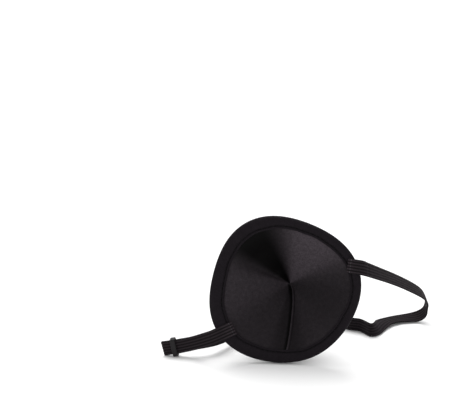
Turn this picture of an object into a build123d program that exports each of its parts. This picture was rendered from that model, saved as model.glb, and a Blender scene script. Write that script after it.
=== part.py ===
from build123d import *
from itertools import accumulate
from math import atan2, ceil, cos, degrees, pi, radians, sin, tan
import os

# An eye patch that stands on its rim with its hollow side to the front (-Y).
# +Z is up, and the origin is on the ground under the middle of the cup and rim.

# ---------------------------------------------------------------- driving sizes, mm
ELASTIC_WIDTH = 8.0
ELASTIC_THICKNESS = 1.0
RIM_RADIUS = 41.0            # mean radius of the rim's outer edge
OPENING_RADIUS = 33.8        # mean radius of the binding's inner edge
CUP_DEPTH = 22.0             # from the rim plane to the point of the lining
LEAN = 12.0                  # degrees that the rim leans back from upright
LINING_THICKNESS = 0.4
FOAM_THICKNESS = 2.0
COVER_THICKNESS = 0.5
TAPE_THICKNESS = 0.5         # the binding's tape
STITCH_LENGTH = 2.6
STITCH_WIDTH = 0.35
STITCH_HEIGHT = 0.25
STITCH_COUNT = 72            # on each side of the rim
STITCH_INSET = 1.4           # from the binding's inner edge
TACK_COUNT = 5               # short stitches across a sewn strap end
TACK_LENGTH = 1.1
TACK_INSET = 1.6             # from a sewn end's inner edge
SLIDE_WALL = 0.9
SLIDE_LENGTH = 2.8           # along the elastic

# The rim's outline is a circle with four gentle waves: (waves per turn, share of radius, degrees).
OUTLINE_WAVES = ((2, 0.019, 47), (3, 0.027, -9), (4, 0.022, 111), (5, 0.0023, 7))
OUTLINE_POINTS = 24

# Centres in the rim plane, measured across and up from the foot.
RIM_CENTRE = (-1.47, 40.69)
OPENING_CENTRE = (-0.2, 41.0)
APEX_CENTRE = (1.63, 42.11)
TIP_RADIUS = 0.8             # the lining's point is rounded off to this
FOOT_Y = -16.73              # where the rim plane meets the ground

HEM_THICKNESS = LINING_THICKNESS + FOAM_THICKNESS + COVER_THICKNESS
SLOPE = atan2(CUP_DEPTH, OPENING_RADIUS)
HEM_RADIUS = RIM_RADIUS - TAPE_THICKNESS
RIM_PLANE = Plane(
    origin=(0, FOOT_Y, 0),
    x_dir=(1, 0, 0),
    z_dir=(0, -cos(radians(LEAN)), sin(radians(LEAN))),
)

# Sewn strap ends: where on the rim (degrees round it), which way they point, and their length on it.
UPPER_END = {"angle": 19, "heading": -7, "on_rim": 6.0}
LOWER_END = {"angle": 216, "heading": 206, "on_rim": 9.6}
END_OVERHANG = 1.3           # how far a sewn end stands out past the rim
STITCH_FREE_ANGLE = 10       # no rim stitch within this many degrees of a strap end

# The elastic's route from the lower end, through the slide, round its fold, behind the cup, along
# the ground and back up to the upper end. Each row is a point and the way the elastic's width points.
ROUTE = (
    ((-40.0, -14.2, 13.3), (0.0, 0.2, 1.0)),
    ((-45.2, -12.5, 10.7), (0.0, 0.1, 1.0)),
    ((-52.7, -10.9, 7.8), (0.0, 0.0, 1.0)),
    ((-60.0, -10.3, 5.7), (0.0, 0.0, 1.0)),
    ((-64.2, -10.1, 4.8), (-0.2, 0.0, 1.0)),
    ((-66.5, -10.0, 4.4), (-0.25, 0.0, 1.0)),
    ((-67.7, -9.9, 4.2), (-0.25, 0.0, 1.0)),
    ((-67.7, -8.6, 4.2), (-0.25, 0.0, 1.0)),
    ((-66.5, -8.7, 4.4), (-0.25, 0.0, 1.0)),
    ((-64.2, -8.8, 4.8), (-0.2, 0.0, 1.0)),
    ((-60.0, -9.0, 5.7), (0.0, 0.0, 1.0)),
    ((-52.7, -9.2, 7.4), (0.0, 0.0, 1.0)),
    ((-43.7, -7.2, 8.4), (0.0, 0.0, 1.0)),
    ((-36.9, -0.3, 7.8), (0.0, 0.0, 1.0)),
    ((-30.5, 12.7, 6.6), (0.0, 0.0, 1.0)),
    ((-22.9, 30.7, 4.8), (0.0, 0.0, 1.0)),
    ((-11.7, 45.7, 4.3), (0.0, 0.0, 1.0)),
    ((2.3, 55.7, 4.2), (0.0, 0.0, 1.0)),
    ((18.3, 53.7, 4.2), (0.0, 0.0, 1.0)),
    ((29.3, 43.2, 4.2), (0.0, 0.0, 1.0)),
    ((36.6, 38.0, 4.2), (0.0, 0.0, 1.0)),
    ((42.0, 37.4, 4.2), (0.0, 0.0, 1.0)),
    ((45.4, 33.2, 4.2), (0.0, 0.0, 1.0)),
    ((48.4, 28.4, 4.2), (-0.05, 0.1, 1.0)),
    ((52.0, 32.0, 4.0), (-0.3, 0.45, 0.85)),
    ((54.4, 41.8, 3.1), (-0.55, 0.7, 0.4)),
    ((58.8, 50.4, 2.3), (-0.55, 0.85, 0.1)),
    ((65.0, 54.9, 2.1), (-0.45, 0.85, 0.15)),
    ((71.4, 57.0, 2.3), (-0.4, 0.85, 0.22)),
    ((77.6, 57.2, 3.2), (-0.35, 0.8, 0.45)),
    ((81.4, 56.2, 6.4), (-0.25, 0.9, 0.3)),
    ((82.0, 54.4, 11.4), (-0.05, 0.97, -0.15)),
    ((81.4, 51.2, 16.4), (-0.1, 0.95, 0.1)),
    ((78.4, 44.2, 22.4), (-0.2, 0.8, 0.5)),
    ((71.3, 33.7, 29.5), (-0.2, 0.7, 0.65)),
    ((61.8, 20.7, 37.8), (-0.2, 0.66, 0.7)),
    ((52.3, 6.7, 45.6), (-0.1, 0.70, 0.70)),
    ((44.2, -3.9, 51.6), (0.05, 0.6, 0.8)),
)
BEND_SHARE = 0.45            # share of the shorter run that a bend takes up
STATION_TURN = 15            # degrees of bend between two sections
STATION_STEP = 5.0           # longest straight stretch between two sections

# The slide sits on the two layers between these points of the route.
SLIDE_BETWEEN = (3, 4)
SLIDE_SHARE = 0.35           # how far along from the first of them
LAYER_PITCH = 1.3            # between the middles of the two layers
SLOT_CLEARANCE = 0.35
SLIDE_EDGE_RADIUS = 0.35


# ---------------------------------------------------------------- rim and cup
def outline_point(radius, centre, angle):
    """The point of an outline of this mean radius at an angle in radians."""
    wave = sum(share * cos(count * angle - radians(phase)) for count, share, phase in OUTLINE_WAVES)
    reach = radius * (1 + wave)
    return centre[0] + reach * cos(angle), centre[1] + reach * sin(angle)


def outline(radius, centre, height):
    """The rim's outline as a flat face at a height in front of the rim plane."""
    points = []
    for index in range(OUTLINE_POINTS):
        x, y = outline_point(radius, centre, 2 * pi * index / OUTLINE_POINTS)
        points.append((x, y, height))
    return Face(Wire([Spline(*points, periodic=True)]))


def slab(radius, centre, front, back):
    """A plate of the rim's outline between two heights."""
    return extrude(outline(radius, centre, back), front - back, dir=(0, 0, 1))


def widened(radius, behind):
    """An opening's radius where the sheet is this far behind the rim plane."""
    return radius + behind * tan(SLOPE / 2)


def cone(behind):
    """The space in front of the cup's surface that is this far behind the lining's face."""
    mouth = outline(widened(OPENING_RADIUS, behind), OPENING_CENTRE, -behind)
    tip = outline(TIP_RADIUS, APEX_CENTRE, -CUP_DEPTH - behind / cos(SLOPE))
    return loft([mouth, tip], ruled=True)


def cup_layer(behind, thickness):
    """One sheet of the cup: a flat hem held in the binding, and a cone inside it."""
    hem = slab(HEM_RADIUS, RIM_CENTRE, -behind, -behind - thickness)
    return hem + cone(behind + thickness) - cone(behind)


def rim_binding():
    """The tape folded round the hem, open at the front and back."""
    back = -HEM_THICKNESS - TAPE_THICKNESS
    tape = slab(RIM_RADIUS, RIM_CENTRE, TAPE_THICKNESS, back)
    tape -= slab(HEM_RADIUS, RIM_CENTRE, 0, -HEM_THICKNESS)
    tape -= slab(OPENING_RADIUS, OPENING_CENTRE, TAPE_THICKNESS, 0)
    back_opening = widened(OPENING_RADIUS, HEM_THICKNESS + TAPE_THICKNESS)
    tape -= slab(back_opening, OPENING_CENTRE, -HEM_THICKNESS, back)
    return tape


def dart_seam():
    """The raised seam of the lining's dart, from the binding up to the point."""
    seam_width = 1.6
    seam_height = 0.7
    foot_angle = radians(273)
    foot = Vector(*outline_point(OPENING_RADIUS, OPENING_CENTRE, foot_angle), 0)
    point = Vector(*APEX_CENTRE, -CUP_DEPTH)
    along = point - foot
    across = along.cross(Vector(0, 0, 1))
    bar_plane = Plane(origin=(foot + point) / 2, x_dir=along, z_dir=across.cross(along))
    bar = bar_plane * Box(along.length, seam_width, 2 * seam_height)
    return bar & cone(0)


# ---------------------------------------------------------------- stitches and strap ends
def near_strap_end(angle):
    """Whether an angle round the rim, in radians, is under a strap end."""
    for end in (UPPER_END, LOWER_END):
        apart = abs((degrees(angle) - end["angle"] + 180) % 360 - 180)
        if apart < STITCH_FREE_ANGLE:
            return True
    return False


def rim_stitch(angle, radius, height):
    """One stitch along the rim, standing on a face at this height."""
    small_step = radians(0.5)
    x, y = outline_point(radius, OPENING_CENTRE, angle)
    ahead_x, ahead_y = outline_point(radius, OPENING_CENTRE, angle + small_step)
    turn = degrees(atan2(ahead_y - y, ahead_x - x))
    return Pos(x, y, height) * Rot(0, 0, turn) * Box(STITCH_LENGTH, STITCH_WIDTH, STITCH_HEIGHT)


def rim_stitching():
    """The stitches of both rows through the binding."""
    front = TAPE_THICKNESS + STITCH_HEIGHT / 2
    back = -HEM_THICKNESS - TAPE_THICKNESS - STITCH_HEIGHT / 2
    back_radius = widened(OPENING_RADIUS, HEM_THICKNESS + TAPE_THICKNESS) + STITCH_INSET
    stitches = []
    for index in range(STITCH_COUNT):
        angle = 2 * pi * (index + 0.5) / STITCH_COUNT
        stitches.append(rim_stitch(angle, back_radius, back))
        if not near_strap_end(angle):
            stitches.append(rim_stitch(angle, OPENING_RADIUS + STITCH_INSET, front))
    return stitches


def end_location(end, outward, height):
    """A place on a sewn strap end, measured outward from the rim's edge."""
    x, y = outline_point(RIM_RADIUS, RIM_CENTRE, radians(end["angle"]))
    return Pos(x, y, height) * Rot(0, 0, end["heading"]) * Pos(outward, 0, 0)


def strap_end(end):
    """An end of the elastic, laid flat on the front of the binding."""
    length = end["on_rim"] + END_OVERHANG
    middle = END_OVERHANG - length / 2
    place = end_location(end, middle, TAPE_THICKNESS + ELASTIC_THICKNESS / 2)
    return place * Box(length, ELASTIC_WIDTH, ELASTIC_THICKNESS)


def strap_tack(end):
    """The stitches of one row across a sewn strap end."""
    height = TAPE_THICKNESS + ELASTIC_THICKNESS + STITCH_HEIGHT / 2
    row = end_location(end, TACK_INSET - end["on_rim"], height)
    pitch = ELASTIC_WIDTH / TACK_COUNT
    tacks = []
    for index in range(TACK_COUNT):
        across = (index - (TACK_COUNT - 1) / 2) * pitch
        tacks.append(row * Pos(0, across, 0) * Box(STITCH_WIDTH, TACK_LENGTH, STITCH_HEIGHT))
    return tacks


# ---------------------------------------------------------------- elastic and slide
def bend_radii(points):
    """The radius of each bend of the route, and its turn in degrees."""
    radii = []
    for before, corner, after in zip(points, points[1:], points[2:]):
        run_in = corner - before
        run_out = after - corner
        turn = run_in.get_angle(run_out)
        radius = BEND_SHARE * min(run_in.length, run_out.length) / tan(radians(turn / 2))
        radii.append(radius)
        print(f"bend at {tuple(round(value, 1) for value in corner)}: {turn:.0f} deg, radius {radius:.1f}")
    return radii


def strap_section(edge, share, width):
    """The elastic's cross-section this far along an edge, its width nearest this direction."""
    along = edge % share
    level = width - along * width.dot(along)
    return Plane(origin=edge @ share, x_dir=level, z_dir=along) * Rectangle(ELASTIC_WIDTH, ELASTIC_THICKNESS)


def elastic_strap():
    """The free elastic: a flat band lofted along straight runs and tangent arcs."""
    points = [Vector(*point) for point, _ in ROUTE]
    widths = [Vector(*width) for _, width in ROUTE]
    # Runs and bends take turns, so every second edge is a bend.
    edges = FilletPolyline(*points, radius=bend_radii(points)).edges()
    starts = list(accumulate((edge.length for edge in edges), initial=0.0))
    bend_middles = [(starts[index] + starts[index + 1]) / 2 for index in range(1, len(edges), 2)]
    marks = [0.0] + bend_middles + [starts[-1]]

    # The width direction turns evenly from the middle of one bend to the middle of the next.
    sections = []
    mark = 0
    for index, edge in enumerate(edges):
        steps = ceil(edge.length / STATION_STEP)
        if index % 2:
            turn = (edge % 0).get_angle(edge % 1)
            steps = max(steps, ceil(turn / STATION_TURN))
        is_last = index == len(edges) - 1
        for step in range(steps + is_last):
            place = starts[index] + edge.length * step / steps
            while place > marks[mark + 1]:
                mark += 1
            blend = (place - marks[mark]) / (marks[mark + 1] - marks[mark])
            width = widths[mark] * (1 - blend) + widths[mark + 1] * blend
            sections.append(strap_section(edge, step / steps, width))
    strap = loft(sections, ruled=True)
    expected = ELASTIC_WIDTH * ELASTIC_THICKNESS * starts[-1]
    print(f"elastic: {len(sections)} sections, length {starts[-1]:.1f}, "
          f"volume {strap.volume:.0f} for {expected:.0f}")
    return strap


def slide_plane():
    """The slide's middle, with x along the elastic to the cup and y up its width."""
    first = Vector(*ROUTE[SLIDE_BETWEEN[0]][0])
    second = Vector(*ROUTE[SLIDE_BETWEEN[1]][0])
    along = (first - second).normalized()
    through = Vector(0, 0, 1).cross(along).normalized()
    middle = first + (second - first) * SLIDE_SHARE + through * LAYER_PITCH / 2
    return Plane(origin=middle, x_dir=along, z_dir=through)


def strap_slide():
    """The moulded ring that grips both layers of the elastic."""
    slot_height = ELASTIC_WIDTH + 2 * SLOT_CLEARANCE
    slot_depth = LAYER_PITCH + ELASTIC_THICKNESS + 2 * SLOT_CLEARANCE
    body = Box(SLIDE_LENGTH, slot_height + 2 * SLIDE_WALL, slot_depth + 2 * SLIDE_WALL)
    body = fillet(body.edges(), SLIDE_EDGE_RADIUS)
    body -= Box(2 * SLIDE_LENGTH, slot_height, slot_depth)
    return slide_plane() * body


# ---------------------------------------------------------------- the whole part
def build():
    """Every node's shape, placed in the part's own frame."""
    foam_behind = LINING_THICKNESS
    cover_behind = LINING_THICKNESS + FOAM_THICKNESS
    rim_parts = {
        "inner_lining": cup_layer(0, LINING_THICKNESS),
        "foam_pad": cup_layer(foam_behind, FOAM_THICKNESS),
        "outer_cover": cup_layer(cover_behind, COVER_THICKNESS),
        "rim_binding": rim_binding(),
        "dart_seam": dart_seam(),
        "strap_end_upper": strap_end(UPPER_END),
        "strap_end_lower": strap_end(LOWER_END),
    }
    stitch_groups = {
        "rim_stitching": rim_stitching(),
        "strap_tack_upper": strap_tack(UPPER_END),
        "strap_tack_lower": strap_tack(LOWER_END),
    }
    parts = {name: RIM_PLANE.location * shape for name, shape in rim_parts.items()}
    for name, stitches in stitch_groups.items():
        parts[name] = Compound(children=[RIM_PLANE.location * stitch for stitch in stitches])
    parts["elastic_strap"] = elastic_strap()
    parts["strap_slide"] = strap_slide()
    return parts


def main():
    os.makedirs("parts", exist_ok=True)
    for name, shape in build().items():
        export_step(shape, f"parts/{name}.step")
    middle = slide_plane()
    print("slide middle", middle.origin, "along", middle.x_dir)
    for name, end in (("upper", UPPER_END), ("lower", LOWER_END)):
        tip = RIM_PLANE.location * end_location(end, END_OVERHANG, TAPE_THICKNESS + ELASTIC_THICKNESS / 2)
        print(name, "sewn end stops at", tip.position)


main()
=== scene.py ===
from math import cos, pi, radians, sin, sqrt, tan

import bpy
import numpy as np
from mathutils import Matrix, Vector


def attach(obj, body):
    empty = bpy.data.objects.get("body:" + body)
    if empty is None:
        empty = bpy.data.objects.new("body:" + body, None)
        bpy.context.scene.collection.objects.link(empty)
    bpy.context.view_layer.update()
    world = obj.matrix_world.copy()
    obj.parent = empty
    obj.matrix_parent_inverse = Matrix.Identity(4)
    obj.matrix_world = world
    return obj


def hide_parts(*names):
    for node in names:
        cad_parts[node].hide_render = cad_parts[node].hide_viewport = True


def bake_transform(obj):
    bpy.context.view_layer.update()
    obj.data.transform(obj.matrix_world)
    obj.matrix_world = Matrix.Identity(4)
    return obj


# An eye patch that stands on its rim with its hollow side to the front (-Y).
# Sizes are in metres. Places on the rim are measured in the rim plane: across, up, and out to the front.
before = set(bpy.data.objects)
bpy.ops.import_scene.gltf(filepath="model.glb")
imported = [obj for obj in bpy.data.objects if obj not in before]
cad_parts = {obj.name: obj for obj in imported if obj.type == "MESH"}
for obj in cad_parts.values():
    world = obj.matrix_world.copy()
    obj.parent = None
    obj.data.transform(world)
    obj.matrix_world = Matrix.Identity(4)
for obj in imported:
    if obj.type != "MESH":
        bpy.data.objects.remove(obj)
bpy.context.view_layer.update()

MM = 0.001

# ---------------------------------------------------------------- driving sizes
FOOT_Y = -16.73 * MM             # where the rim plane meets the ground
LEAN = radians(12)               # how far the rim leans back
RIM_RADIUS = 41.0 * MM
OPENING_RADIUS = 33.8 * MM
CUP_DEPTH = 22.0 * MM
LINING_THICKNESS = 0.4 * MM
FOAM_THICKNESS = 2.0 * MM
COVER_THICKNESS = 0.5 * MM
TAPE_THICKNESS = 0.5 * MM
ELASTIC_WIDTH = 8.0 * MM
ELASTIC_THICKNESS = 1.0 * MM
HEM_THICKNESS = LINING_THICKNESS + FOAM_THICKNESS + COVER_THICKNESS
SLOPE = np.arctan2(CUP_DEPTH, OPENING_RADIUS)

# The rim's outline is a circle with four gentle waves: (waves per turn, share of radius, angle).
OUTLINE_WAVES = (
    (2, 0.019, radians(47)),
    (3, 0.027, radians(-9)),
    (4, 0.022, radians(111)),
    (5, 0.0023, radians(7)),
)
RIM_CENTRE = np.array((-1.47, 40.69)) * MM
OPENING_CENTRE = np.array((-0.2, 41.0)) * MM
APEX_CENTRE = np.array((1.63, 42.11)) * MM

# Sewn strap ends: where on the rim, which way they point, and their length on it.
UPPER_END = {"angle": radians(19), "heading": radians(-7), "on_rim": 6.0 * MM}
LOWER_END = {"angle": radians(216), "heading": radians(206), "on_rim": 9.6 * MM}

# The elastic's route, in millimetres: a point, and the way the elastic's width points there.
ROUTE = (
    ((-40.0, -14.2, 13.3), (0.0, 0.2, 1.0)),
    ((-45.2, -12.5, 10.7), (0.0, 0.1, 1.0)),
    ((-52.7, -10.9, 7.8), (0.0, 0.0, 1.0)),
    ((-60.0, -10.3, 5.7), (0.0, 0.0, 1.0)),
    ((-64.2, -10.1, 4.8), (-0.2, 0.0, 1.0)),
    ((-66.5, -10.0, 4.4), (-0.25, 0.0, 1.0)),
    ((-67.7, -9.9, 4.2), (-0.25, 0.0, 1.0)),
    ((-67.7, -8.6, 4.2), (-0.25, 0.0, 1.0)),
    ((-66.5, -8.7, 4.4), (-0.25, 0.0, 1.0)),
    ((-64.2, -8.8, 4.8), (-0.2, 0.0, 1.0)),
    ((-60.0, -9.0, 5.7), (0.0, 0.0, 1.0)),
    ((-52.7, -9.2, 7.4), (0.0, 0.0, 1.0)),
    ((-43.7, -7.2, 8.4), (0.0, 0.0, 1.0)),
    ((-36.9, -0.3, 7.8), (0.0, 0.0, 1.0)),
    ((-30.5, 12.7, 6.6), (0.0, 0.0, 1.0)),
    ((-22.9, 30.7, 4.8), (0.0, 0.0, 1.0)),
    ((-11.7, 45.7, 4.3), (0.0, 0.0, 1.0)),
    ((2.3, 55.7, 4.2), (0.0, 0.0, 1.0)),
    ((18.3, 53.7, 4.2), (0.0, 0.0, 1.0)),
    ((29.3, 43.2, 4.2), (0.0, 0.0, 1.0)),
    ((36.6, 38.0, 4.2), (0.0, 0.0, 1.0)),
    ((42.0, 37.4, 4.2), (0.0, 0.0, 1.0)),
    ((45.4, 33.2, 4.2), (0.0, 0.0, 1.0)),
    ((48.4, 28.4, 4.2), (-0.05, 0.1, 1.0)),
    ((52.0, 32.0, 4.0), (-0.3, 0.45, 0.85)),
    ((54.4, 41.8, 3.1), (-0.55, 0.7, 0.4)),
    ((58.8, 50.4, 2.3), (-0.55, 0.85, 0.1)),
    ((65.0, 54.9, 2.1), (-0.45, 0.85, 0.15)),
    ((71.4, 57.0, 2.3), (-0.4, 0.85, 0.22)),
    ((77.6, 57.2, 3.2), (-0.35, 0.8, 0.45)),
    ((81.4, 56.2, 6.4), (-0.25, 0.9, 0.3)),
    ((82.0, 54.4, 11.4), (-0.05, 0.97, -0.15)),
    ((81.4, 51.2, 16.4), (-0.1, 0.95, 0.1)),
    ((78.4, 44.2, 22.4), (-0.2, 0.8, 0.5)),
    ((71.3, 33.7, 29.5), (-0.2, 0.7, 0.65)),
    ((61.8, 20.7, 37.8), (-0.2, 0.66, 0.7)),
    ((52.3, 6.7, 45.6), (-0.1, 0.70, 0.70)),
    ((44.2, -3.9, 51.6), (0.05, 0.6, 0.8)),
)
ROUTE_POINTS = np.array([point for point, _ in ROUTE]) * MM
ROUTE_WIDTHS = np.array([width for _, width in ROUTE])


# ---------------------------------------------------------------- camera, light and floor
FLOOR_REACH = 6.0                # from the middle of the floor to its sides


def make_camera():
    data = bpy.data.cameras.new("camera")
    data.lens = 84.6
    camera = bpy.data.objects.new("camera", data)
    camera.location = (0.0238, -0.5842, 0.2380)
    camera.rotation_euler = (radians(75.4), 0, radians(5))
    bpy.context.scene.collection.objects.link(camera)
    bpy.context.scene.camera = camera


def make_light(name, azimuth, elevation, strength):
    """A broad soft light from far off. Azimuth 0 comes from the front (-Y), and 90 from the right."""
    data = bpy.data.lights.new(name, "SUN")
    data.angle = radians(50)
    data.energy = strength
    light = bpy.data.objects.new(name, data)
    a, e = radians(azimuth), radians(elevation)
    towards = Vector((sin(a) * cos(e), -cos(a) * cos(e), sin(e)))
    light.rotation_euler = (-towards).to_track_quat("-Z", "Y").to_euler()
    bpy.context.scene.collection.objects.link(light)


def make_studio():
    scene = bpy.context.scene
    scene.view_settings.view_transform = "Standard"
    world = bpy.data.worlds.new("studio")
    world.use_nodes = True
    background = world.node_tree.nodes["Background"]
    background.inputs["Color"].default_value = (1, 1, 1, 1)
    background.inputs["Strength"].default_value = 0.5
    scene.world = world
    make_light("overhead", 200, 62, 2.9)
    make_light("front_left", -40, 30, 0.6)
    make_light("right", 65, 35, 0.4)

    mesh = bpy.data.meshes.new("floor")
    corners = [(x * FLOOR_REACH, y * FLOOR_REACH, 0) for x, y in ((-1, -1), (1, -1), (1, 1), (-1, 1))]
    mesh.from_pydata(corners, [], [(0, 1, 2, 3)])
    floor = bpy.data.objects.new("floor", mesh)
    scene.collection.objects.link(floor)
    floor.data.materials.append(floor_material())


# ---------------------------------------------------------------- materials
WAVE_TURN = 6.283                # a full turn, by which a wave texture's scale is divided


class Paint:
    """A material with one principled shader, and short names for the nodes that feed it."""

    def __init__(self, name, colour, roughness, specular=0.5):
        self.material = bpy.data.materials.new(name)
        self.material.use_nodes = True
        self.tree = self.material.node_tree
        self.shader = self.tree.nodes["Principled BSDF"]
        self.set("Base Color", (*colour, 1))
        self.set("Roughness", roughness)
        self.set("Specular IOR Level", specular)

    def set(self, socket, value):
        self.shader.inputs[socket].default_value = value

    def node(self, kind, **inputs):
        made = self.tree.nodes.new(kind)
        for socket, value in inputs.items():
            self.feed(made.inputs[socket], value)
        return made

    def feed(self, socket, value):
        """Links an output to a socket, or sets a plain value on it."""
        if isinstance(value, bpy.types.NodeSocket):
            self.tree.links.new(value, socket)
        else:
            socket.default_value = value

    def math(self, operation, first, second=0.0):
        made = self.tree.nodes.new("ShaderNodeMath")
        made.operation = operation
        self.feed(made.inputs[0], first)
        self.feed(made.inputs[1], second)
        return made.outputs[0]

    def place(self, uv_map=None):
        """Where a point is: on the flat cloth if it has a pattern, or else in the object."""
        if uv_map is None:
            return self.tree.nodes.new("ShaderNodeTexCoord").outputs["Object"]
        made = self.tree.nodes.new("ShaderNodeUVMap")
        made.uv_map = uv_map
        return made.outputs["UV"]

    def painted_lightness(self):
        """The lightness painted on the cloth at a point, as stored on the mesh."""
        made = self.tree.nodes.new("ShaderNodeAttribute")
        made.attribute_name = "painted_lightness"
        return made.outputs["Fac"]

    def stretched(self, place, scale):
        made = self.node("ShaderNodeMapping", Vector=place)
        made.inputs["Scale"].default_value = scale
        return made.outputs["Vector"]

    def noise(self, place, pitch, detail=3.0, roughness=0.5):
        """Noise from 0 to 1 whose blotches are about this size in metres."""
        made = self.node("ShaderNodeTexNoise", Vector=place, Scale=1 / pitch, Detail=detail)
        made.inputs["Roughness"].default_value = roughness
        return made.outputs["Fac"]

    def spread(self, value, low, high):
        """The value's range of 0 to 1 made into another range."""
        made = self.node("ShaderNodeMapRange", Value=value)
        made.inputs["To Min"].default_value = low
        made.inputs["To Max"].default_value = high
        return made.outputs["Result"]

    def blend(self, share, first, second):
        made = self.tree.nodes.new("ShaderNodeMix")
        made.data_type = "RGBA"
        self.feed(made.inputs["Factor"], share)
        made.inputs[6].default_value = (*first, 1)
        made.inputs[7].default_value = (*second, 1)
        return made.outputs[2]

    def colour(self, value):
        self.feed(self.shader.inputs["Base Color"], value)

    def rough(self, value):
        self.feed(self.shader.inputs["Roughness"], value)

    def bump(self, height, depth, strength=1.0):
        """Raises the surface by up to this depth in metres, on top of earlier bumps."""
        made = self.node("ShaderNodeBump", Height=height, Distance=depth, Strength=strength)
        earlier = self.shader.inputs["Normal"].links
        if earlier:
            self.feed(made.inputs["Normal"], earlier[0].from_socket)
        self.feed(self.shader.inputs["Normal"], made.outputs["Normal"])


def wave_scale(pitch):
    """The Scale that goes with a pitch in metres on a wave texture."""
    return 1 / pitch / WAVE_TURN


def floor_material():
    paint = Paint("floor_paper", (0.9, 0.9, 0.9), 0.8, 0.2)
    grain = paint.noise(paint.place(), 0.004)
    paint.rough(paint.spread(grain, 0.75, 0.85))
    return paint.material


# The satin's colour where its painted lightness is 0, and where it is 1.
SATIN_PAINTED_DARK = (0.0006, 0.0004, 0.0005)
SATIN_PAINTED_LIGHT = (0.060, 0.050, 0.058)


def satin_material():
    """Black satin with its warp along the pattern's v, so its sheen follows the cut of the cloth."""
    paint = Paint("satin", (0.018, 0.014, 0.017), 0.42, 0.05)
    cloth = paint.place("pattern")
    blotches = paint.noise(cloth, 2.2 * MM, 4.0, 0.6)
    streaks = paint.noise(paint.stretched(cloth, (4.0, 1.0, 1.0)), 1.4 * MM, 3.0)
    worn = paint.noise(cloth, 0.7 * MM, 3.0, 0.7)
    mottled = paint.math("MULTIPLY", paint.spread(blotches, 0.5, 1.5), paint.spread(worn, 0.3, 1.7))
    # Painted highlights and shade: the mottled tone is scaled by the lightness painted on the lining.
    mottled = paint.math("MULTIPLY", mottled, paint.painted_lightness())
    paint.colour(paint.blend(mottled, SATIN_PAINTED_DARK, SATIN_PAINTED_LIGHT))
    paint.rough(paint.spread(streaks, 0.36, 0.50))
    paint.set("Anisotropic", 0.65)
    tangent = paint.tree.nodes.new("ShaderNodeTangent")
    tangent.direction_type = "UV_MAP"
    tangent.uv_map = "pattern"
    paint.feed(paint.shader.inputs["Tangent"], tangent.outputs["Tangent"])
    floats = paint.noise(paint.stretched(cloth, (1.0, 0.14, 1.0)), 0.16 * MM, 2.0)
    paint.bump(floats, 0.03 * MM)
    paint.bump(streaks, 0.10 * MM, 0.6)
    return paint.material


def cover_material():
    """The outer side's smooth knit, a little duller than the satin."""
    paint = Paint("cover_knit", (0.016, 0.013, 0.015), 0.5, 0.2)
    cloth = paint.place("pattern")
    blotches = paint.noise(cloth, 3.0 * MM, 4.0, 0.6)
    paint.colour(paint.blend(blotches, (0.011, 0.009, 0.010), (0.024, 0.019, 0.023)))
    paint.rough(paint.spread(blotches, 0.46, 0.60))
    paint.set("Sheen Weight", 0.03)
    paint.set("Sheen Roughness", 0.4)
    paint.set("Sheen Tint", (0.75, 0.70, 0.75, 1))
    squeezed = paint.stretched(cloth, (1.0, 0.6, 1.0))
    loops = paint.node("ShaderNodeTexVoronoi", Vector=squeezed, Scale=1 / (0.3 * MM))
    paint.bump(loops.outputs["Distance"], 0.05 * MM, 0.7)
    return paint.material


def tape_material():
    """Matte bias tape: fine cross ribs, with painted shade in its stitch groove and along its inner edge
    where it meets the cloth.
    """
    paint = Paint("binding_tape", (0.010, 0.008, 0.010), 0.68, 0.06)
    tape = paint.place("pattern")
    blotches = paint.noise(tape, 2.5 * MM, 4.0, 0.6)
    shade = paint.math("MULTIPLY", paint.spread(blotches, 0.3, 0.9), paint.painted_lightness())
    paint.colour(paint.blend(shade, (0.0008, 0.0006, 0.0008), (0.015, 0.0118, 0.015)))
    paint.rough(paint.spread(blotches, 0.60, 0.80))
    paint.set("Sheen Weight", 0.04)
    paint.set("Sheen Roughness", 0.35)
    paint.set("Sheen Tint", (0.72, 0.64, 0.72, 1))
    ribs = paint.node("ShaderNodeTexWave", Vector=tape, Scale=wave_scale(0.45 * MM), Distortion=1.2)
    ribs.wave_type = "BANDS"
    ribs.bands_direction = "DIAGONAL"
    paint.bump(ribs.outputs["Fac"], 0.06 * MM, 0.8)
    paint.bump(blotches, 0.12 * MM, 0.5)
    return paint.material


def elastic_material():
    """Braided elastic: slanting yarns over each lengthwise rib, with a painted highlight on the ribs' crowns
    and painted shade in the grooves between them.
    """
    paint = Paint("braided_elastic", (0.013, 0.010, 0.012), 0.72, 0.08)
    band = paint.place("pattern")
    split = paint.node("ShaderNodeSeparateXYZ", Vector=band)
    along, across = split.outputs["X"], split.outputs["Y"]
    rib_place = paint.math("FRACT", paint.math("MULTIPLY", across, RIB_COUNT / ELASTIC_WIDTH))
    side = paint.math("ABSOLUTE", paint.math("SUBTRACT", rib_place, 0.5))
    yarns_along = paint.math("MULTIPLY", along, 1 / (0.85 * MM))
    slanted = paint.math("ADD", yarns_along, paint.math("MULTIPLY", side, 1.3))
    yarns = paint.math("SINE", paint.math("MULTIPLY", slanted, 2 * pi))
    yarn_height = paint.spread(yarns, 0.0, 1.0)
    crown = paint.math("SUBTRACT", 1.0, paint.math("MULTIPLY", side, 2.0))
    fuzz = paint.noise(band, 0.5 * MM, 4.0, 0.7)
    # Painted rib shading: a painted highlight on the crowns and painted shade in the grooves.
    shade = paint.math("MULTIPLY", paint.math("MULTIPLY", crown, fuzz), paint.painted_lightness())
    paint.colour(paint.blend(paint.spread(shade, 0.0, 2.2), (0.0012, 0.0008, 0.001), (0.034, 0.0265, 0.031)))
    paint.rough(paint.spread(fuzz, 0.62, 0.85))
    paint.set("Sheen Weight", 0.05)
    paint.set("Sheen Roughness", 0.4)
    paint.set("Sheen Tint", (0.70, 0.62, 0.68, 1))
    paint.bump(yarn_height, 0.09 * MM, 0.9)
    paint.bump(fuzz, 0.06 * MM, 0.6)
    return paint.material


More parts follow.
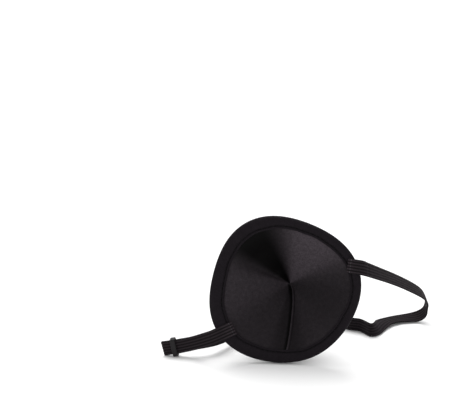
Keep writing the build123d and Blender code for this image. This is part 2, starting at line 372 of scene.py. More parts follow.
def thread_material():
    paint = Paint("thread", (0.0028, 0.0022, 0.0028), 0.55, 0.06)
    twist = paint.node("ShaderNodeTexWave", Vector=paint.place(), Scale=wave_scale(0.5 * MM), Distortion=0.6)
    twist.bands_direction = "DIAGONAL"
    paint.rough(paint.spread(twist.outputs["Fac"], 0.42, 0.62))
    paint.set("Sheen Weight", 0.03)
    paint.bump(twist.outputs["Fac"], 0.05 * MM, 0.8)
    return paint.material


def plastic_material():
    """Moulded plastic with a fine spark-eroded grain and rubbed corners."""
    paint = Paint("slide_plastic", (0.006, 0.005, 0.006), 0.42, 0.22)
    grain = paint.noise(paint.place(), 0.12 * MM, 3.0, 0.6)
    rubbed = paint.noise(paint.place(), 1.6 * MM, 3.0, 0.6)
    paint.colour(paint.blend(rubbed, (0.003, 0.0024, 0.003), (0.008, 0.0066, 0.008)))
    paint.rough(paint.spread(rubbed, 0.34, 0.56))
    paint.bump(grain, 0.02 * MM, 0.6)
    return paint.material


def foam_material():
    """Dark open-cell foam."""
    paint = Paint("foam", (0.06, 0.06, 0.062), 0.95, 0.2)
    cells = paint.node("ShaderNodeTexVoronoi", Vector=paint.place(), Scale=1 / (0.6 * MM))
    paint.colour(paint.blend(cells.outputs["Distance"], (0.02, 0.02, 0.02), (0.09, 0.09, 0.092)))
    paint.bump(cells.outputs["Distance"], 0.3 * MM, 0.8)
    return paint.material


# ---------------------------------------------------------------- meshes from rows of points
def rim_to_world():
    """From (across, up, out to the front) on the rim plane to the row frame."""
    columns = ((1, 0, 0), (0, sin(LEAN), cos(LEAN)), (0, -cos(LEAN), sin(LEAN)))
    turn = Matrix(columns).transposed().to_4x4()
    return Matrix.Translation((0, FOOT_Y, 0)) @ turn


def from_rim(points):
    """Points on the rim plane, with the point in the last axis, in the row frame."""
    matrix = np.array(rim_to_world())
    return np.asarray(points) @ matrix[:3, :3].T + matrix[:3, 3]


def new_piece(name, vertices, faces, material, patterns=None):
    """A smooth-shaded piece with flat end caps. patterns gives each face corner its place on the cloth."""
    mesh = bpy.data.meshes.new(name)
    mesh.from_pydata([tuple(vertex) for vertex in vertices], [], faces)
    if patterns is not None:
        layer = mesh.uv_layers.new(name="pattern")
        layer.data.foreach_set("uv", np.asarray(patterns, np.float32).ravel())
    mesh.materials.append(material)
    mesh.polygons.foreach_set("use_smooth", [len(face) == 4 for face in faces])
    mesh.validate()
    piece = bpy.data.objects.new(name, mesh)
    bpy.context.scene.collection.objects.link(piece)
    return piece


def tube_parts(rows, pattern, first_vertex=0):
    """Vertices, faces and face-corner patterns of a closed tube through rows of points.

    pattern has one more column than rows, because the cloth starts and ends at the same edge."""
    row_count, column_count = rows.shape[:2]
    faces = []
    patterns = []
    for row in range(row_count - 1):
        for column in range(column_count):
            beside = (column + 1) % column_count
            corners = ((row, column, column), (row, beside, column + 1),
                       (row + 1, beside, column + 1), (row + 1, column, column))
            faces.append([first_vertex + r * column_count + c for r, c, _ in corners])
            patterns.extend(pattern[r, p] for r, _, p in corners)
    for row, order in ((0, -1), (row_count - 1, 1)):
        columns = list(range(column_count))[::order]
        faces.append([first_vertex + row * column_count + c for c in columns])
        patterns.extend(pattern[row, c] for c in columns)
    return rows.reshape(-1, 3), faces, patterns


def tube(name, rows, pattern, material):
    vertices, faces, patterns = tube_parts(rows, pattern)
    return new_piece(name, vertices, faces, material, patterns)


def tubes(name, all_rows, material):
    """Several tubes as one piece, such as a line of stitches. Their pattern is their length and girth."""
    vertices, faces, patterns = [], [], []
    for rows in all_rows:
        more_vertices, more_faces, more_patterns = tube_parts(rows, length_pattern(rows), len(vertices))
        vertices.extend(more_vertices)
        faces.extend(more_faces)
        patterns.extend(more_patterns)
    return new_piece(name, vertices, faces, material, patterns)


def length_pattern(rows):
    """The flat cloth of a tube: u is the length along its rows, and v the way round its first row."""
    middles = rows.mean(axis=1)
    lengths = np.concatenate(([0.0], np.cumsum(np.linalg.norm(np.diff(middles, axis=0), axis=1))))
    loop = np.concatenate((rows[0], rows[0][:1]))
    girth = np.concatenate(([0.0], np.cumsum(np.linalg.norm(np.diff(loop, axis=0), axis=1))))
    u, v = np.meshgrid(lengths, girth, indexing="ij")
    return np.stack((u, v), axis=-1)


def settle(piece, body, slot, *nodes):
    """Rides a piece on a body and lets it stand for CAD nodes, which it hides. slot is not used."""
    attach(piece, body)
    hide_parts(*nodes)


# ---------------------------------------------------------------- the rim's outline
def outline_share(angle):
    """The outline's radius at an angle, as a share of its mean radius."""
    return 1 + sum(share * np.cos(count * angle - phase) for count, share, phase in OUTLINE_WAVES)


def outline(radius, centre, angle):
    """Points of the outline, across and up in the rim plane."""
    reach = radius * outline_share(angle)
    return np.stack((centre[0] + reach * np.cos(angle), centre[1] + reach * np.sin(angle)), axis=-1)


def widened(radius, behind):
    """An opening's radius where the sheet is this far behind the rim plane."""
    return radius + behind * tan(SLOPE / 2)


def bell(value, width):
    return np.exp(-(value / width) ** 2)


def plateau(value, width):
    """Like a bell, with a flatter top and steeper sides."""
    return np.exp(-(value / width) ** 4)


def ease(value):
    """0 below 0, 1 above 1, and smooth between."""
    value = np.clip(value, 0, 1)
    return value * value * (3 - 2 * value)


# ---------------------------------------------------------------- the cup
DART_ANGLE = radians(273)        # where the dart meets the binding
DART_BOW = 3.6 * MM              # how far the dart's seam bows to the right
FOLD_ANGLE = radians(148)        # a soft fold in the lining, from the point to the upper left
FOLD_DEPTH = 1.8 * MM
FOLD_SHARP_SIDE = radians(8)
FOLD_SOFT_SIDE = radians(34)
PANEL_BULGE = 1.2 * MM           # how far the panel between the fold and the dart swells out
LINING_PUFF = 0.7 * MM           # how far the foam lifts the lining inside the binding
PUFF_REACH = 3.5 * MM
DART_SINK = 0.55 * MM            # how deep the lining is drawn in along the dart
RIPPLE = 0.10 * MM               # small unevenness of the lining
COVER_BLUNTNESS = 0.10           # how round the outer side's point is
COVER_BULGE = 0.22               # how much fuller than a cone the outer side is
COVER_WAVE = 0.15 * MM
PUCKER_COUNT = 36                # puckers of the cover along the binding
PUCKER_HEIGHT = 0.12 * MM
FOAM_GAP = 0.01 * MM             # between the foam and the cloth on each side
INNER_SHARE = 0.012              # where a sheet's first row is, as a share of the way out
CUP_COLUMNS = 288
CUP_ROWS = 64
HEM_ROWS = 4


def cup_angles(share_round, share_out):
    """Angles round the cup from one side of the dart to the other, bent to follow its bowed seam."""
    reach = OPENING_RADIUS * np.maximum(share_out, 0.02)
    bow = DART_BOW * (1 - np.exp(-share_out / 0.13)) * np.maximum(1 - share_out, 0) ** 0.62
    near_dart = np.cos(pi * share_round) ** 2
    return DART_ANGLE + 2 * pi * share_round + bow / reach * near_dart


def turned(angle, from_angle):
    """How far an angle is from another, from -180 to 180 degrees, in radians."""
    return (angle - from_angle + pi) % (2 * pi) - pi


def lining_relief(angle, share_round, share_out):
    """How far the lining stands in front of a plain cone."""
    slant = OPENING_RADIUS / cos(SLOPE)
    inside = (1 - share_out) * slant
    puff = LINING_PUFF * (1 - np.exp(-np.maximum(inside, 0) / PUFF_REACH)) * ease(share_out / 0.25)
    past_fold = turned(angle, FOLD_ANGLE)
    one_side = np.where(past_fold > 0, bell(past_fold, FOLD_SHARP_SIDE), bell(past_fold, FOLD_SOFT_SIDE))
    along_fold = ease(share_out / 0.35) * ease((1 - share_out) / 0.35)
    fold = -FOLD_DEPTH * one_side * along_fold
    across_panel = np.clip(past_fold / (DART_ANGLE - FOLD_ANGLE), 0, 1)
    panel = PANEL_BULGE * np.sin(pi * across_panel) * along_fold
    across_dart = np.minimum(share_round, 1 - share_round) * 2 * pi * OPENING_RADIUS * share_out
    dart = -DART_SINK * bell(across_dart, 1.3 * MM) * ease(share_out / 0.08)
    broad_waves = np.sin(3 * angle + 0.7) * np.sin(5.1 * share_out + 1.0)
    fine_waves = 0.6 * np.sin(7 * angle + 2.1 + 4 * share_out)
    ripple = RIPPLE * (broad_waves + fine_waves) * ease(share_out / 0.3) * ease((1.02 - share_out) / 0.15)
    return puff + fold + panel + dart + ripple


def cup_grid():
    """Shares outward from the cup's point and round it, as a grid."""
    round_shares = np.arange(CUP_COLUMNS) / CUP_COLUMNS
    out_shares = INNER_SHARE + (1 - INNER_SHARE) * np.linspace(0, 1, CUP_ROWS) ** 1.15
    return np.meshgrid(out_shares, round_shares, indexing="ij")


def with_hem(flat, height, angle, behind):
    """A cup surface, and the flat hem that runs on from it to inside the binding."""
    rings = [np.concatenate((flat, height[..., None]), axis=-1)]
    start = flat[-1]
    stop = outline(RIM_RADIUS - TAPE_THICKNESS, RIM_CENTRE, angle[-1])
    for share in np.linspace(0, 1, HEM_ROWS + 1)[1:]:
        ring = start + (stop - start) * share
        rings.append(np.concatenate((ring, np.full((CUP_COLUMNS, 1), -behind)), axis=-1)[None])
    return np.concatenate(rings)


def lining_surface(behind):
    """The lining's face, or a surface this far behind it, from the point out to the hem's edge."""
    share_out, share_round = cup_grid()
    angle = cup_angles(share_round, share_out)
    mouth = outline(widened(OPENING_RADIUS, behind), OPENING_CENTRE, angle)
    flat = APEX_CENTRE + (mouth - APEX_CENTRE) * share_out[..., None]
    tip = -CUP_DEPTH - behind / cos(SLOPE)
    rounded = np.sqrt(share_out ** 2 + 0.02 ** 2)
    height = -behind + (tip + behind) * (1 - rounded) + lining_relief(angle, share_round, share_out)
    return with_hem(flat, height, angle, behind)


def cover_surface(behind):
    """The outer side's face, or a surface in front of it: a dome a little fuller than the lining's cone."""
    share_out, share_round = cup_grid()
    angle = DART_ANGLE + 2 * pi * share_round
    mouth = outline(widened(OPENING_RADIUS, behind), OPENING_CENTRE, angle)
    flat = APEX_CENTRE + (mouth - APEX_CENTRE) * share_out[..., None]
    tip = -CUP_DEPTH - behind / cos(SLOPE)
    blunt = COVER_BLUNTNESS
    rounded = (np.sqrt(share_out ** 2 + blunt ** 2) - blunt) / (sqrt(1 + blunt ** 2) - blunt)
    rise = rounded ** (1 + COVER_BULGE)
    height = -behind + (tip + behind) * (1 - rise)
    puckers = np.sin(PUCKER_COUNT * angle) * bell(1 - share_out, 0.05) * PUCKER_HEIGHT
    waves = np.sin(2 * angle + 0.4) * np.sin(4 * share_out) + 0.5 * np.sin(5 * angle + 1.3 + 3 * share_out)
    height = height + puckers - COVER_WAVE * waves * ease(share_out / 0.4) * ease((1 - share_out) / 0.2)
    return with_hem(flat, height, angle, behind)


# Lightness painted on the satin, in place of the way its nap would catch the light: (angle round the
# point, change, how far the change reaches before that angle, and after it), with angles in degrees.
PAINTED_LIGHTNESS_BASE = 0.27
PAINTED_LIGHTNESS_CHANGES = (
    (66, 0.50, 38, 27),
    (130, -0.29, 26, 20),
    (178, 0.17, 18, 34),
    (-92, -0.12, 14, 18),
    (-18, -0.05, 26, 26),
)
DART_SHADE = 0.26                # painted shade: how much darker the fold left of the dart's seam is painted


def painted_satin_lightness(surface):
    """The lightness painted on the satin at each point of a surface: painted highlights and shade round the
    point, and painted shade left of the dart's seam.
    """
    across, up = surface[..., 0] - APEX_CENTRE[0], surface[..., 1] - APEX_CENTRE[1]
    angle = np.arctan2(up, across)
    painted_shading = np.full(angle.shape, PAINTED_LIGHTNESS_BASE)
    for middle, change, before, after in PAINTED_LIGHTNESS_CHANGES:
        past = turned(angle, radians(middle))
        painted_shading = painted_shading + change * np.where(past < 0, plateau(past, radians(before)), plateau(past, radians(after)))
    share_round = np.arange(surface.shape[1]) / surface.shape[1]
    left_of_dart = (1 - share_round) * 2 * pi * np.hypot(across, up)
    # Painted shade in the groove left of the dart's seam.
    return painted_shading - DART_SHADE * bell(left_of_dart - 1.3 * MM, 0.9 * MM)


def add_painted_lightness(piece, values):
    """Stores the lightness painted on each point's cloth, from 0 to 1, for the material to read."""
    attribute = piece.data.attributes.new("painted_lightness", "FLOAT", "POINT")
    attribute.data.foreach_set("value", np.clip(values, 0, 1).ravel().astype(np.float32))


def cone_pattern(surface):
    """Each point's place on the cloth before its dart was sewn: the cone laid out flat."""
    middle = np.append(APEX_CENTRE, -CUP_DEPTH)
    distance = np.linalg.norm(surface - middle, axis=-1)
    distance = np.concatenate((distance, distance[:, :1]), axis=1)
    share_round = np.linspace(0, 1, surface.shape[1] + 1)
    laid_out = (share_round - 0.5) * 2 * pi * cos(SLOPE) + pi / 2
    return np.stack((distance * np.cos(laid_out), distance * np.sin(laid_out)), axis=-1)


def sheet_between(name, front, back, material):
    """A closed sheet with its front and back surfaces, joined round the hem's edge."""
    rows = np.concatenate((front, back[::-1]))
    pattern = np.concatenate((cone_pattern(front), cone_pattern(back)[::-1]))
    return tube(name, from_rim(rows), pattern, material)


def make_cup():
    cover_start = HEM_THICKNESS - COVER_THICKNESS
    lining_front = lining_surface(0)
    lining_back = lining_surface(LINING_THICKNESS)
    lining = sheet_between("lining", lining_front, lining_back, satin_material())
    # Painted highlights and shade on the satin lining.
    add_painted_lightness(lining, painted_satin_lightness(np.concatenate((lining_front, lining_back[::-1]))))
    settle(lining, "patch", "satin_lining", "inner_lining")
    foam = sheet_between("foam_core", lining_surface(LINING_THICKNESS + FOAM_GAP),
                         cover_surface(cover_start - FOAM_GAP), foam_material())
    settle(foam, "patch", "foam", "foam_pad")
    cover = sheet_between("cover", cover_surface(cover_start), cover_surface(HEM_THICKNESS),
                          cover_material())
    settle(cover, "patch", "cover_fabric", "outer_cover")


WELT_WIDTH = 1.5 * MM
WELT_HEIGHT = 0.75 * MM
WELT_ROWS = 90
WELT_CORNERS = 20                # points round the welt
WELT_PUCKER = 0.07               # how much the stitches draw the welt in
WELT_PUCKERS = 41 / 2.3          # of them along its length


def make_dart_welt():
    """The dart's seam: a narrow folded welt that stands up from the lining, steeper on its left."""
    share_out = np.linspace(0.03, 1.03, WELT_ROWS)
    share_round = np.zeros_like(share_out)
    angle = cup_angles(share_round, np.minimum(share_out, 1))
    mouth = outline(OPENING_RADIUS, OPENING_CENTRE, angle)
    flat = APEX_CENTRE + (mouth - APEX_CENTRE) * share_out[:, None]
    height = -CUP_DEPTH * (1 - share_out) + lining_relief(angle, share_round, share_out)
    line = np.concatenate((flat, height[:, None]), axis=-1)
    along = np.gradient(line, axis=0)
    along /= np.linalg.norm(along, axis=1)[:, None]
    across = np.cross(along, (0, 0, 1))
    across /= np.linalg.norm(across, axis=1)[:, None]
    out = np.cross(across, along)
    size = 0.45 + 0.55 * ease((share_out - 0.03) / 0.18)
    puckers = 1 + WELT_PUCKER * np.sin(2 * pi * share_out * WELT_PUCKERS)
    turns = np.linspace(0, 2 * pi, WELT_CORNERS, endpoint=False)
    rows = []
    for index in range(WELT_ROWS):
        sideways = WELT_WIDTH / 2 * size[index] * (np.cos(turns) + 0.18 * np.sin(turns))
        upward = WELT_HEIGHT * size[index] * puckers[index] * np.sin(turns)
        rows.append(line[index] + np.outer(sideways, across[index]) + np.outer(upward, out[index]))
    rows = from_rim(np.array(rows))
    welt = tube("dart_welt", rows, length_pattern(rows), bpy.data.materials["satin"])
    # Painted highlight on the welt's left side, and painted shade on its right.
    add_painted_lightness(welt, np.tile(0.30 + 0.20 * np.cos(turns), (WELT_ROWS, 1)))
    settle(welt, "patch", "satin_lining", "dart_seam")


# ---------------------------------------------------------------- binding and stitches
STITCH_COUNT = 72
STITCH_LENGTH = 2.6 * MM
STITCH_INSET = 1.4 * MM
THREAD_WIDTH = 0.35 * MM
STITCH_FREE_ANGLE = radians(10)  # no stitch this near a strap end

# The binding's section in millimetres. Near its inner edges the first number is measured from that
# edge, and round its outer edge from the rim's edge. The second is the height in front of the rim plane.
FRONT_LIP = ((0.45, 0.02), (0.06, 0.06), (-0.10, 0.34), (0.06, 0.66), (0.55, 0.82), (1.05, 0.68),
             (1.40, 0.40), (1.80, 0.68), (2.40, 0.88))
OUTER_TURN = ((1.9, 0.80), (1.0, 0.52), (0.35, 0.0), (0.04, -0.8), (0.0, -1.6), (0.02, -2.5), (0.30, -3.10),
              (0.95, -3.42), (1.9, -3.62))
BACK_LIP = ((2.40, -3.70), (1.80, -3.56), (1.40, -3.38), (1.05, -3.60), (0.55, -3.70), (0.06, -3.56),
            (-0.10, -3.24), (0.06, -2.96), (0.45, -2.92))
INNER_TURN = ((1.6, -2.90), (0.75, -2.85), (0.5, -2.3), (0.5, -0.6), (0.75, -0.05), (1.6, 0.0))
BINDING_STATIONS = STITCH_COUNT * 4
BACK_SHIFT = widened(OPENING_RADIUS, HEM_THICKNESS + TAPE_THICKNESS) - OPENING_RADIUS
GROOVE_OFFSET = STITCH_INSET / MM
FRONT_GROOVE = 0.40 * MM         # the height of the threads in the front groove
BACK_GROOVE = -3.33 * MM
GROOVE_SHADE = 0.9               # painted shade: how much darker the tape is painted in the stitch groove
EDGE_SHADE = 0.8                 # and painted shade where its inner edge meets the cloth


def binding_waver(angle):
    """How far the binding's inner edge wanders as it goes round."""
    return 0.16 * MM * (np.sin(5 * angle + 1.0) + 0.7 * np.sin(11 * angle + 2.6) + 0.4 * np.sin(19 * angle))


def make_binding():
    angles = 2 * pi * np.arange(BINDING_STATIONS) / BINDING_STATIONS
    stitch_wave = np.cos(STITCH_COUNT * angles)
    inner = outline(OPENING_RADIUS, OPENING_CENTRE, angles)
    outer = outline(RIM_RADIUS, RIM_CENTRE, angles)
    width = np.linalg.norm(outer - inner, axis=1)
    outward = (outer - inner) / width[:, None]
    waver = binding_waver(angles)
    pull = 0.5 + 0.5 * stitch_wave
    columns = []
    painted_lightness = []

    def add(offset, height, light=1.0):
        place = inner + outward * offset[:, None]
        columns.append(np.concatenate((place, height[:, None]), axis=-1))
        painted_lightness.append(light)

    back_cloth = -HEM_THICKNESS / MM
    for lip, start, side, cloth_height in ((FRONT_LIP, 0.0, 1, 0.0), (BACK_LIP, BACK_SHIFT, -1, back_cloth)):
        if side == -1:
            for inset, height in OUTER_TURN:
                bulge = 0.10 * MM * stitch_wave * (1 if inset > 0.5 else 0)
                add(width - inset * MM, height * MM + bulge * np.sign(height + 1.5))
        for offset, height in lip:
            past_groove = offset - GROOVE_OFFSET
            dip = -side * bell(past_groove, 0.45) * 0.16 * MM * pull
            lift = side * 0.05 * MM * stitch_wave * (0.2 < offset < 1.2)
            scallop = 0.07 * MM * stitch_wave * (offset < 0.5)
            # Painted shade in the stitch groove and where the tape's inner edge meets the cloth.
            light = 1 - GROOVE_SHADE * bell(past_groove, 0.3) - EDGE_SHADE * bell(height - cloth_height, 0.3)
            add(start + offset * MM + waver + scallop, height * MM + dip + lift, light)
    for inset, height in INNER_TURN:
        add(width - inset * MM, np.full_like(angles, height * MM))
    rows = np.stack(columns, axis=1)
    binding = ring_piece("binding", from_rim(rows), tape_material())
    add_painted_lightness(binding, np.tile(painted_lightness, (BINDING_STATIONS, 1)))
    subdivide(binding, 1)
    settle(binding, "patch", "binding_tape", "rim_binding")


def ring_piece(name, rows, material):
    """A piece whose rows of points run round a ring and meet themselves."""
    row_count, column_count = rows.shape[:2]
    closed = np.concatenate((rows, rows[:1]))
    pattern = length_pattern(closed)
    faces = []
    patterns = []
    for row in range(row_count):
        for column in range(column_count):
            beside = (column + 1) % column_count
            below = (row + 1) % row_count
            corners = ((row, column, row, column), (row, beside, row, column + 1),
                       (below, beside, row + 1, column + 1), (below, column, row + 1, column))
            faces.append([r * column_count + c for r, c, _, _ in corners])
            patterns.extend(pattern[pr, pc] for _, _, pr, pc in corners)
    return new_piece(name, rows.reshape(-1, 3), faces, material, patterns)


def subdivide(piece, levels):
    modifier = piece.modifiers.new("subdivision", "SUBSURF")
    modifier.levels = levels
    modifier.render_levels = levels


def stitch_rows(start, stop, out, length_share=1.0):
    """A short thread that rises from one hole and sinks into the next."""
    along = stop - start
    length = np.linalg.norm(along)
    across = np.cross(out, along / length)
    turns = np.linspace(0, 2 * pi, 8, endpoint=False)
    rows = []
    for share in np.linspace(0, 1, 9):
        middle = start + along * (0.5 + (share - 0.5) * length_share)
        rise = THREAD_WIDTH * (0.75 * sin(pi * share) ** 0.5 - 0.45)
        slim = 0.55 + 0.45 * sin(pi * share) ** 0.4
        ring = np.outer(np.cos(turns), across) + np.outer(np.sin(turns), out)
        rows.append(middle + out * rise + ring * THREAD_WIDTH / 2 * slim)
    return np.array(rows)


def near_strap_end(angle):
    return any(abs(turned(angle, end["angle"])) < STITCH_FREE_ANGLE for end in (UPPER_END, LOWER_END))


def make_rim_stitches():
    """Lockstitches through the binding, in its front groove and its back one."""
    half_turn = STITCH_LENGTH / OPENING_RADIUS / 2
    sides = ((1, FRONT_GROOVE, OPENING_RADIUS), (-1, BACK_GROOVE, OPENING_RADIUS + BACK_SHIFT))
    everything = []
    for index in range(STITCH_COUNT):
        middle = 2 * pi * (index + 0.5) / STITCH_COUNT
        for side, base, radius in sides:
            if side == 1 and near_strap_end(middle):
                continue
            ends = []
            for angle in (middle - half_turn, middle + half_turn):
                place = outline(radius + STITCH_INSET + binding_waver(angle), OPENING_CENTRE, angle)
                ends.append(np.array((*place, base)))
            everything.append(from_rim(stitch_rows(*ends, np.array((0.0, 0.0, side)))))
    stitches = tubes("rim_stitches", everything, thread_material())
    settle(stitches, "patch", "thread", "rim_stitching")


# ---------------------------------------------------------------- elastic
RIB_COUNT = 5
RIB_STEPS = 7                    # points across one rib
GROOVE_SHARE = 0.42              # a groove's depth as a share of half the thickness
CUT_GROOVE_SHARE = 0.85          # the same at a cut end, where the ribs spread apart
SPLINE_STEPS = 14                # points read from each stretch of the spline
SEWN_HEIGHT = 1.22 * MM          # the middle of a sewn end, in front of the rim plane
END_ROWS = 26
CUT_ROWS = 8                     # rows of a sewn end that its cut edge rounds off
CUT_FADE = 2.2                   # the spread ribs settle over 1 / this of a root's length
CUT_SET_BACK = 0.55 * MM         # how far the grooves stop short of the ribs at the cut edge
TACK_COUNT = 5
TACK_LENGTH = 1.1 * MM
TACK_INSET = 1.6 * MM            # from a sewn end's cut edge
FREE_RUN_PAINTED_LIGHTNESS = 0.62           # painted lightness of the elastic away from its cut ends, where its ribs look lighter; it tones down the painted crown highlight there


def elastic_profile(groove_share=GROOVE_SHARE):
    """The band's section as (across, through) points, with rounded ribs on both faces."""
    half_width = ELASTIC_WIDTH / 2
    half_thickness = ELASTIC_THICKNESS / 2
    face = []
    for rib in range(RIB_COUNT):
        for step in range(RIB_STEPS):
            share = step / RIB_STEPS
            place = (rib + share) / RIB_COUNT
            crown = sqrt(max(1 - (2 * share - 1) ** 2, 0))
            at_edge = place < 0.02
            height = 0.25 if at_edge else 1 - groove_share * (1 - crown)
            face.append(((2 * place - 1) * half_width, height * half_thickness))
    top = face + [(half_width, 0.25 * half_thickness)]
    bottom = [(-across, -through) for across, through in top]
    return np.array(top + bottom)


def spline_points(controls):
    """Points read from a smooth NURBS spline through these control points."""
    data = bpy.data.curves.new("reading", "CURVE")
    data.dimensions = "3D"
    data.resolution_u = SPLINE_STEPS
    spline = data.splines.new("NURBS")
    spline.points.add(len(controls) - 1)
    for point, place in zip(spline.points, controls):
        point.co = (*place, 1)
    spline.order_u = 3
    spline.use_endpoint_u = True
    holder = bpy.data.objects.new("reading", data)
    mesh = bpy.data.meshes.new_from_object(holder)
    points = np.array([vertex.co for vertex in mesh.vertices])
    bpy.data.objects.remove(holder)
    bpy.data.curves.remove(data)
    bpy.data.meshes.remove(mesh)
    return points


def band_rows(line, widths, profile):
    """Sections of the elastic along a line, each turned so that its width points the given way."""
    along = np.gradient(line, axis=0)
    along /= np.linalg.norm(along, axis=1)[:, None]
    widths = widths - along * (along * widths).sum(axis=1)[:, None]
    widths /= np.linalg.norm(widths, axis=1)[:, None]
    through = np.cross(along, widths)
    across_part = profile[None, :, 0, None] * widths[:, None]
    through_part = profile[None, :, 1, None] * through[:, None]
    return line[:, None] + across_part + through_part


def band_pattern(line, profile, start=0.0):
    """The band laid flat: u along it, and v across it from edge to edge."""
    lengths = np.concatenate(([0.0], np.cumsum(np.linalg.norm(np.diff(line, axis=0), axis=1)))) + start
    across = np.concatenate((profile[:, 0], profile[:1, 0])) + ELASTIC_WIDTH / 2
    u, v = np.meshgrid(lengths, across, indexing="ij")
    return np.stack((u, v), axis=-1)


def make_elastic():
    """The free run of the elastic, between its two sewn ends."""
    profile = elastic_profile()
    line = spline_points(ROUTE_POINTS)
    widths = spline_points(ROUTE_WIDTHS)
    rows = band_rows(line, widths, profile)
    band = tube("elastic", rows, band_pattern(line, profile), elastic_material())
    # The painted crown highlight is toned down along the free run.
    add_painted_lightness(band, np.full(rows.shape[:2], FREE_RUN_PAINTED_LIGHTNESS))
    settle(band, "strap", "elastic", "elastic_strap")
    return band, line, rows


def sewn_frame(end):
    """A sewn end's place on the rim's edge, the way it points outward, and the way across it."""
    place = outline(RIM_RADIUS, RIM_CENTRE, end["angle"])
    outward = np.array((cos(end["heading"]), sin(end["heading"]), 0.0))
    across = np.array((-sin(end["heading"]), cos(end["heading"]), 0.0))
    return np.array((*place, SEWN_HEIGHT)), outward, across


def hermite(start, start_way, stop, stop_way, shares):
    """A smooth line from one point and direction to another."""
    s = shares[:, None]
    return ((2 * s ** 3 - 3 * s ** 2 + 1) * start + (s ** 3 - 2 * s ** 2 + s) * start_way
            + (3 * s ** 2 - 2 * s ** 3) * stop + (s ** 3 - s ** 2) * stop_way)


def make_strap_root(name, end, line, rows, tip, node):
    """A sewn end on the binding and the short bridge from it to the free elastic.

    tip is 0 if the free elastic starts here, or -1 if it stops here."""
    profile = elastic_profile()
    edge, outward, across = sewn_frame(end)
    inner_end = edge - outward * end["on_rim"]
    sewn = from_rim(np.linspace(inner_end, edge, END_ROWS))
    free_tip = line[tip]
    neighbour = line[1] if tip == 0 else line[-2]
    free_way = (neighbour - free_tip) / np.linalg.norm(neighbour - free_tip)
    sewn_way = (sewn[-1] - sewn[-2]) / np.linalg.norm(sewn[-1] - sewn[-2])
    span = np.linalg.norm(free_tip - sewn[-1])
    bridge = hermite(sewn[-1], sewn_way * span, free_tip, free_way * span, np.linspace(0, 1, END_ROWS))
    path = np.concatenate((sewn, bridge[1:]))

    # The free elastic's own width where they meet, and the sewn end's width on the rim, the same way up.
    free_width = rows[tip][RIB_COUNT * RIB_STEPS] - rows[tip][0]
    free_width /= np.linalg.norm(free_width)
    sewn_width = from_rim(across) - from_rim(np.zeros(3))
    sewn_width *= np.sign(sewn_width @ free_width)
    turn = ease(np.linspace(-1, 1, len(path)))[:, None]
    widths = sewn_width * (1 - turn) + free_width * turn
    side = 1 if tip == 0 else -1
    plain_rows = band_rows(path, widths, profile * (1, side))
    cut_rows = band_rows(path, widths, elastic_profile(CUT_GROOVE_SHARE) * (1, side))
    near_cut = 1 - ease(np.linspace(0, CUT_FADE, len(path)))[:, None]
    root_rows = plain_rows + (cut_rows - plain_rows) * near_cut[..., None]
    root_rows[-1] = rows[tip]
    root_rows[:CUT_ROWS] = cut_end(root_rows[:CUT_ROWS], path[:CUT_ROWS], profile)
    root = tube(name, root_rows, band_pattern(path, profile), bpy.data.materials["braided_elastic"])
    # The painted crown highlight grows to full strength towards the cut end.
    painted_lightness = FREE_RUN_PAINTED_LIGHTNESS + (1 - FREE_RUN_PAINTED_LIGHTNESS) * near_cut
    add_painted_lightness(root, np.tile(painted_lightness, (1, len(profile))))
    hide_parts(node)
    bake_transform(root)


def cut_end(rows, path, profile):
    """The first rows of a sewn end, rounded off over its cut edge with each rib a little proud."""
    crowns = np.abs(profile[:, 1]) / (ELASTIC_THICKNESS / 2)
    way = (path[-1] - path[0]) / np.linalg.norm(path[-1] - path[0])
    finished = []
    for index, (row, middle) in enumerate(zip(rows, path)):
        share = index / (len(rows) - 1)
        thin = 0.35 + 0.65 * sqrt(1 - (1 - share) ** 2)
        set_back = (1 - share) * CUT_SET_BACK * (1 - crowns)
        centred = row - middle
        level = np.outer(profile[:, 0], (row[RIB_COUNT * RIB_STEPS] - row[0]) / ELASTIC_WIDTH)
        finished.append(middle + level + (centred - level) * thin + np.outer(set_back, way))
    return np.array(finished)


def make_tacks(name, end, node):
    """A row of short stitches across a sewn end."""
    edge, outward, across = sewn_frame(end)
    row = edge - outward * (end["on_rim"] - TACK_INSET)
    pitch = ELASTIC_WIDTH / TACK_COUNT
    out = np.array((0.0, 0.0, 1.0))
    lift = out * (ELASTIC_THICKNESS / 2 - 0.02 * MM)
    everything = []
    for index in range(TACK_COUNT):
        middle = row + across * (index - (TACK_COUNT - 1) / 2) * pitch + lift
        half = across * TACK_LENGTH / 2
        everything.append(from_rim(stitch_rows(middle - half, middle + half, out)))
    tacks = tubes(name, everything, bpy.data.materials["thread"])
    settle(tacks, "patch", "thread", node)


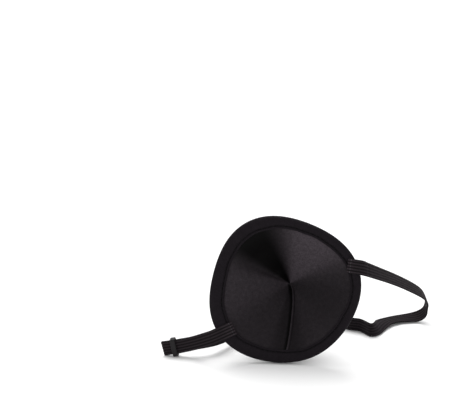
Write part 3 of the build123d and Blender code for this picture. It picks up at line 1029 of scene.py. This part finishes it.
# ---------------------------------------------------------------- slide
SLIDE_WALL = 0.9 * MM
SLIDE_LENGTH = 2.8 * MM
SLIDE_BETWEEN = (3, 4)           # the route points that it rests between
SLIDE_SHARE = 0.35               # how far along from the first of them
LAYER_PITCH = 1.3 * MM           # between the middles of the elastic's two layers
SLOT_HEIGHT = 8.7 * MM
SLOT_DEPTH = 3.0 * MM
SLIDE_CORNER = 0.95 * MM
SLIDE_EDGE = 0.38 * MM


def rounded_rectangle(width, height, radius, corner_steps):
    """Points round a rectangle with rounded corners, and the way out at each of them."""
    points = []
    ways = []
    corners = ((1, 1), (-1, 1), (-1, -1), (1, -1))
    for index, (x, y) in enumerate(corners):
        middle = np.array((x * (width / 2 - radius), y * (height / 2 - radius)))
        for step in range(corner_steps + 1):
            angle = pi / 2 * (index + step / corner_steps)
            way = np.array((cos(angle), sin(angle)))
            points.append(middle + way * radius)
            ways.append(way)
    return np.array(points), np.array(ways)


def make_slide():
    """The moulded ring round both layers of the elastic, with soft corners."""
    first, second = ROUTE_POINTS[list(SLIDE_BETWEEN)]
    slide_along = (first - second) / np.linalg.norm(first - second)
    through = np.cross((0, 0, 1), slide_along)
    through /= np.linalg.norm(through)
    slide_middle = first + (second - first) * SLIDE_SHARE + through * LAYER_PITCH / 2
    up = np.cross(through, slide_along)
    loop, ways = rounded_rectangle(SLOT_HEIGHT + SLIDE_WALL, SLOT_DEPTH + SLIDE_WALL, SLIDE_CORNER, 8)
    section, _ = rounded_rectangle(SLIDE_WALL, SLIDE_LENGTH, SLIDE_EDGE, 5)
    rows = []
    for point, way in zip(loop, ways):
        middle = slide_middle + up * point[0] + through * point[1]
        out = up * way[0] + through * way[1]
        rows.append(middle + np.outer(section[:, 0], out) + np.outer(section[:, 1], slide_along))
    ring = ring_piece("slide_ring", np.array(rows), plastic_material())
    subdivide(ring, 1)
    settle(ring, "slide", "slide_plastic", "strap_slide")
    return ring


# ---------------------------------------------------------------- the whole scene
make_camera()
make_studio()
elastic, elastic_line, elastic_rows = make_elastic()
slide = make_slide()
make_cup()
make_dart_welt()
make_binding()
make_rim_stitches()
make_strap_root("lower_root", LOWER_END, elastic_line, elastic_rows, 0, "strap_end_lower")
make_strap_root("upper_root", UPPER_END, elastic_line, elastic_rows, -1, "strap_end_upper")
make_tacks("lower_tacks", LOWER_END, "strap_tack_lower")
make_tacks("upper_tacks", UPPER_END, "strap_tack_upper")
